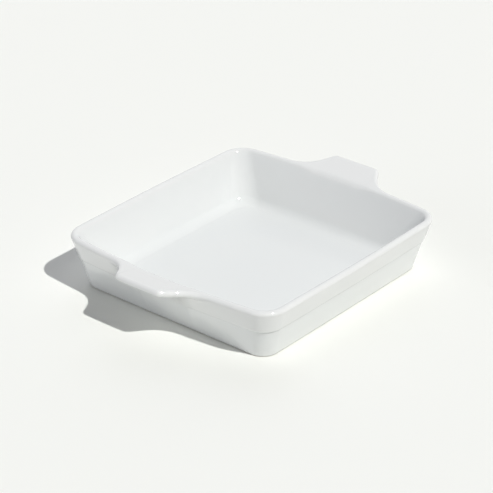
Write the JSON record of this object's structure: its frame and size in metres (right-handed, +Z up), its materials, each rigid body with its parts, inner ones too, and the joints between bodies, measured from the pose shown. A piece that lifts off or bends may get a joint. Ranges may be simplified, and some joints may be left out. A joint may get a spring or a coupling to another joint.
{
  "type": "square baking dish",
  "caption": "Square glazed ceramic baking dish with flared, gently bowed walls, a stepped collar, a round rim and flared tab handles on opposite sides.",
  "frame": {"origin": "centre of the foot ring, on the table", "axes": "+X along the line through both handles, +Y across, towards a plain side, +Z up"},
  "size_m": [0.2976, 0.2304, 0.054],
  "materials": {
    "bare_clay": "bare fired clay, dry and slightly grainy",
    "white_glaze": "white gloss glaze"
  },
  "bodies": {
    "root": {"clay_body": "bare_clay", "glaze_coat": "white_glaze", "base_glaze": "white_glaze"}
  },
  "joints": []
}
